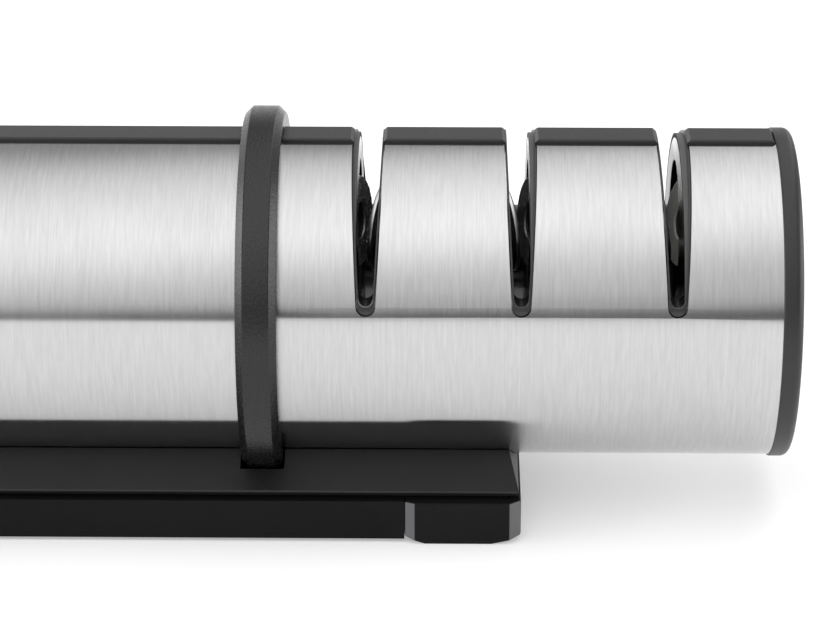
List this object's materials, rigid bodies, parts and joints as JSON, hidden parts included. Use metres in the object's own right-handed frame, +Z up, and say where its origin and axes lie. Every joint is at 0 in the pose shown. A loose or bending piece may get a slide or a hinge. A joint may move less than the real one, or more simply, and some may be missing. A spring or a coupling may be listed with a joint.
{
  "type": "pull through knife sharpener",
  "caption": "Pull through knife sharpener: a round brushed steel tube with a black collar ring on a black stand, and sharpening slots with crossed turning wheels.",
  "frame": {"origin": "on the ground under the middle of the whole object", "axes": "+X along the tube from the handle to the sharpening head, +Z up, -Y towards the user who faces the slots"},
  "size_m": [0.2036, 0.0562, 0.0601],
  "materials": {
    "brushed_steel": "rolled sheet, brushed round the tube",
    "black_plastic": "fine moulded grain",
    "core_plastic": "fine moulded grain",
    "guide_steel": "satin blanked sheet",
    "diamond_coarse": "steel coated with coarse diamond grit",
    "diamond_fine": "steel coated with fine diamond grit",
    "ceramic": "sintered ceramic, smooth and matte",
    "turned_steel": "turned, zinc plated",
    "rubber": "soft matte rubber"
  },
  "bodies": {
    "stand_and_tube": {"handle_sleeve": "brushed_steel", "head_sleeve": "brushed_steel", "collar_ring": "black_plastic", "head_cap": "black_plastic", "handle_cap": "black_plastic", "handle_core": "core_plastic", "core_block_1": "core_plastic", "core_block_2": "core_plastic", "core_block_3": "core_plastic", "core_block_4": "core_plastic", "guide_disc_1_left": "guide_steel", "guide_disc_1_right": "guide_steel", "guide_disc_2_left": "guide_steel", "guide_disc_2_right": "guide_steel", "guide_disc_3_left": "guide_steel", "guide_disc_3_right": "guide_steel", "slot_bezel_1": "black_plastic", "slot_bezel_2": "black_plastic", "slot_bezel_3": "black_plastic", "wheel_pins_1": "turned_steel", "wheel_pins_2": "turned_steel", "wheel_pins_3": "turned_steel", "tie_rods": "turned_steel", "base_deck": "black_plastic", "base_tray": "black_plastic", "shoe_head_end": "rubber", "shoe_handle_end": "rubber", "base_screws": "turned_steel", "saddle_screws": "turned_steel"},
    "wheel_1_left": {"wheel_1_left": "diamond_coarse"},
    "wheel_1_right": {"wheel_1_right": "diamond_coarse"},
    "wheel_2_left": {"wheel_2_left": "diamond_fine"},
    "wheel_2_right": {"wheel_2_right": "diamond_fine"},
    "wheel_3_left": {"wheel_3_left": "ceramic"},
    "wheel_3_right": {"wheel_3_right": "ceramic"}
  },
  "joints": [
    {"name": "wheel_1_left_turn", "type": "hinge", "parent": "stand_and_tube", "child": "wheel_1_left", "pos_m": [0.03666, 0.0011, 0.04285], "axis": [-0.9662, 0.2481, -0.0698], "continuous": true},
    {"name": "wheel_1_right_turn", "type": "hinge", "parent": "stand_and_tube", "child": "wheel_1_right", "pos_m": [0.03954, -0.0011, 0.04285], "axis": [0.9662, -0.2481, -0.0698], "continuous": true},
    {"name": "wheel_2_left_turn", "type": "hinge", "parent": "stand_and_tube", "child": "wheel_2_left", "pos_m": [0.05921, -0.0011, 0.04285], "axis": [-0.9649, -0.2477, -0.0872], "continuous": true},
    {"name": "wheel_2_right_turn", "type": "hinge", "parent": "stand_and_tube", "child": "wheel_2_right", "pos_m": [0.06229, 0.0011, 0.04285], "axis": [0.9649, 0.2477, -0.0872], "continuous": true},
    {"name": "wheel_3_left_turn", "type": "hinge", "parent": "stand_and_tube", "child": "wheel_3_left", "pos_m": [0.08156, -0.0011, 0.04285], "axis": [-0.9592, -0.2463, -0.1392], "continuous": true},
    {"name": "wheel_3_right_turn", "type": "hinge", "parent": "stand_and_tube", "child": "wheel_3_right", "pos_m": [0.08524, 0.0011, 0.04285], "axis": [0.9592, 0.2463, -0.1392], "continuous": true}
  ]
}
